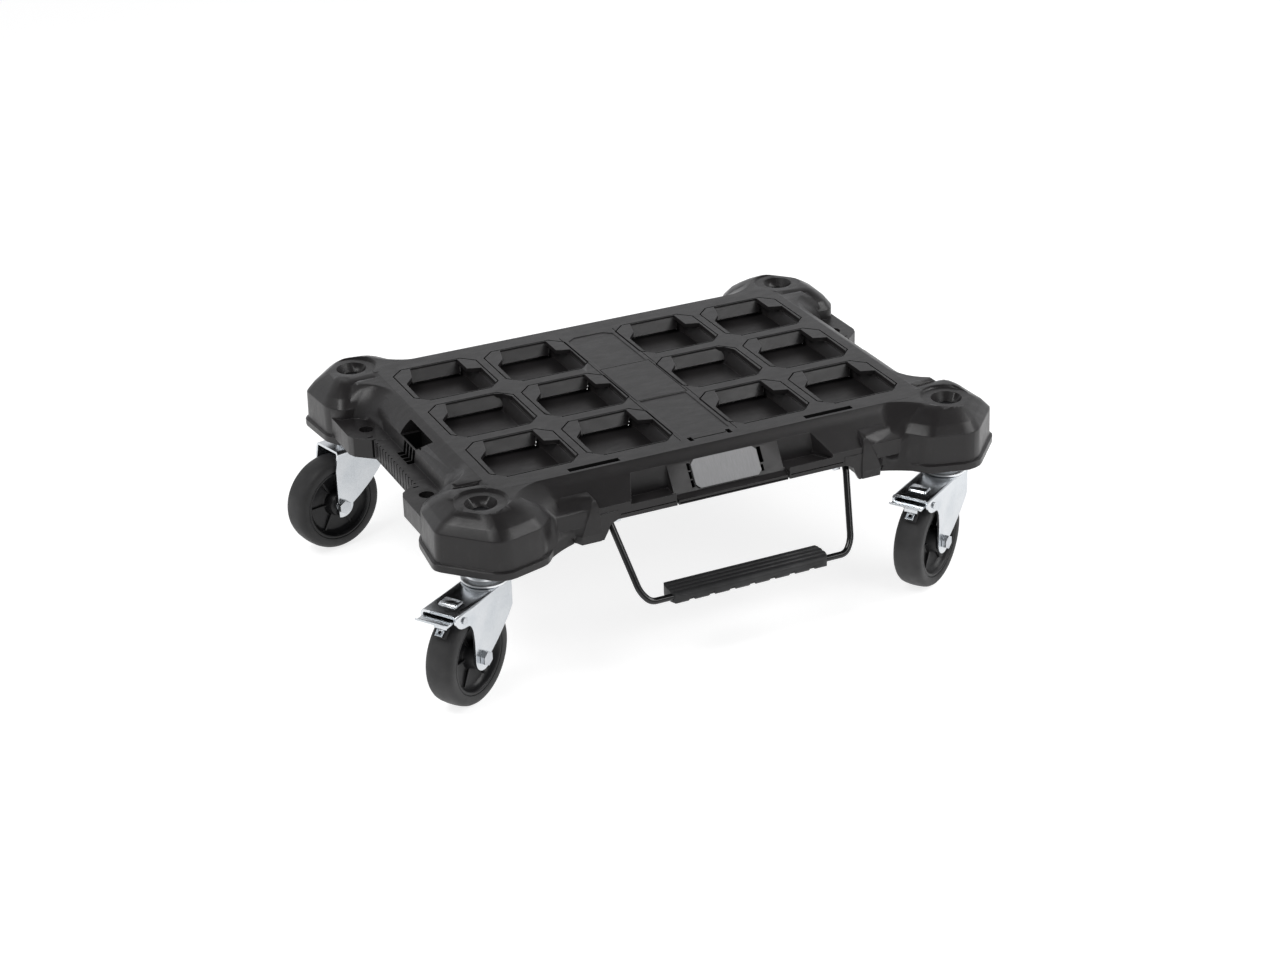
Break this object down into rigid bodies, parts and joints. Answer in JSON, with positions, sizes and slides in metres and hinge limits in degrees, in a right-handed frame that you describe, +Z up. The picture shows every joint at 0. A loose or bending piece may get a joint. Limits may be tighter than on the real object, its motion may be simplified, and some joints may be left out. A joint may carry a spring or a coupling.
{
  "type": "tool box transport trolley",
  "caption": "Flat moulded trolley deck with latch pockets for stacking tool boxes, on swivel casters with front foot brakes and a folding wire pull handle.",
  "frame": {"origin": "on the floor, under the middle of the trolley's overall length and width as it stands at rest", "axes": "+X along the deck's long side, -Y towards the edge with the bail handle, +Z up"},
  "size_m": [0.6348, 0.4744, 0.192],
  "materials": {
    "deck_plastic": "fine-grained dark grey moulding, slightly scuffed",
    "label_plastic": "smooth mid-grey blank plate",
    "zinc_steel": "bright zinc plate on pressed sheet",
    "bolt_steel": "zinc-plated fasteners and bearing parts",
    "tyre_rubber": "dull dark grey solid rubber",
    "hub_plastic": "near-black moulded wheel centre",
    "wire_black": "gloss black coated round wire",
    "grip_rubber": "matte black ribbed grip"
  },
  "bodies": {
    "deck": {"deck_moulding": "deck_plastic", "label_plate": "label_plastic", "handle_bracket_left": "zinc_steel", "handle_bracket_right": "zinc_steel", "bracket_screw_left": "bolt_steel", "bracket_screw_right": "bolt_steel", "king_bolt_front_left": "bolt_steel", "king_nut_front_left": "bolt_steel", "top_race_front_left": "zinc_steel", "king_bolt_front_right": "bolt_steel", "king_nut_front_right": "bolt_steel", "top_race_front_right": "zinc_steel", "king_bolt_rear_left": "bolt_steel", "king_nut_rear_left": "bolt_steel", "top_race_rear_left": "zinc_steel", "king_bolt_rear_right": "bolt_steel", "king_nut_rear_right": "bolt_steel", "top_race_rear_right": "zinc_steel"},
    "handle": {"handle_wire": "wire_black", "handle_grip": "grip_rubber"},
    "caster_front_left": {"fork_front_left": "zinc_steel", "lower_race_front_left": "zinc_steel", "ball_cage_front_left": "bolt_steel", "axle_sleeve_front_left": "bolt_steel", "axle_bolt_front_left": "bolt_steel", "axle_nut_front_left": "bolt_steel", "pedal_pin_front_left": "bolt_steel"},
    "wheel_front_left": {"tyre_front_left": "tyre_rubber", "hub_front_left": "hub_plastic"},
    "brake_front_left": {"brake_pedal_front_left": "zinc_steel", "brake_block_front_left": "grip_rubber"},
    "caster_front_right": {"fork_front_right": "zinc_steel", "lower_race_front_right": "zinc_steel", "ball_cage_front_right": "bolt_steel", "axle_sleeve_front_right": "bolt_steel", "axle_bolt_front_right": "bolt_steel", "axle_nut_front_right": "bolt_steel", "pedal_pin_front_right": "bolt_steel"},
    "wheel_front_right": {"tyre_front_right": "tyre_rubber", "hub_front_right": "hub_plastic"},
    "brake_front_right": {"brake_pedal_front_right": "zinc_steel", "brake_block_front_right": "grip_rubber"},
    "caster_rear_left": {"fork_rear_left": "zinc_steel", "lower_race_rear_left": "zinc_steel", "ball_cage_rear_left": "bolt_steel", "axle_sleeve_rear_left": "bolt_steel", "axle_bolt_rear_left": "bolt_steel", "axle_nut_rear_left": "bolt_steel"},
    "wheel_rear_left": {"tyre_rear_left": "tyre_rubber", "hub_rear_left": "hub_plastic"},
    "caster_rear_right": {"fork_rear_right": "zinc_steel", "lower_race_rear_right": "zinc_steel", "ball_cage_rear_right": "bolt_steel", "axle_sleeve_rear_right": "bolt_steel", "axle_bolt_rear_right": "bolt_steel", "axle_nut_rear_right": "bolt_steel"},
    "wheel_rear_right": {"tyre_rear_right": "tyre_rubber", "hub_rear_right": "hub_plastic"}
  },
  "joints": [
    {"name": "handle_swing", "type": "hinge", "parent": "deck", "child": "handle", "pos_m": [0.01655, -0.18004, 0.151], "axis": [-1, 0, 0], "range_deg": [-100, 21]},
    {"name": "swivel_front_left", "type": "hinge", "parent": "deck", "child": "caster_front_left", "pos_m": [-0.23245, -0.17304, 0.1], "axis": [0, 0, 1], "continuous": true},
    {"name": "spin_front_left", "type": "hinge", "parent": "caster_front_left", "child": "wheel_front_left", "pos_m": [-0.2623, -0.19317, 0.05], "axis": [0.5592, -0.829, 0], "continuous": true},
    {"name": "pedal_front_left", "type": "hinge", "parent": "caster_front_left", "child": "brake_front_left", "pos_m": [-0.28551, -0.20883, 0.1025], "axis": [0.5592, -0.829, 0], "range_deg": [0, 6.5]},
    {"name": "swivel_front_right", "type": "hinge", "parent": "deck", "child": "caster_front_right", "pos_m": [0.26555, -0.17304, 0.1], "axis": [0, 0, 1], "continuous": true},
    {"name": "spin_front_right", "type": "hinge", "parent": "caster_front_right", "child": "wheel_front_right", "pos_m": [0.23536, -0.19265, 0.05], "axis": [0.5446, -0.8387, 0], "continuous": true},
    {"name": "pedal_front_right", "type": "hinge", "parent": "caster_front_right", "child": "brake_front_right", "pos_m": [0.21188, -0.2079, 0.1025], "axis": [0.5446, -0.8387, 0], "range_deg": [0, 6.5]},
    {"name": "swivel_rear_left", "type": "hinge", "parent": "deck", "child": "caster_rear_left", "pos_m": [-0.23245, 0.18096, 0.1], "axis": [0, 0, 1], "continuous": true},
    {"name": "spin_rear_left", "type": "hinge", "parent": "caster_rear_left", "child": "wheel_rear_left", "pos_m": [-0.26722, 0.17164, 0.05], "axis": [0.2588, -0.9659, 0], "continuous": true},
    {"name": "swivel_rear_right", "type": "hinge", "parent": "deck", "child": "caster_rear_right", "pos_m": [0.26555, 0.18096, 0.1], "axis": [0, 0, 1], "continuous": true},
    {"name": "spin_rear_right", "type": "hinge", "parent": "caster_rear_right", "child": "wheel_rear_right", "pos_m": [0.23172, 0.16865, 0.05], "axis": [0.342, -0.9397, 0], "continuous": true}
  ]
}
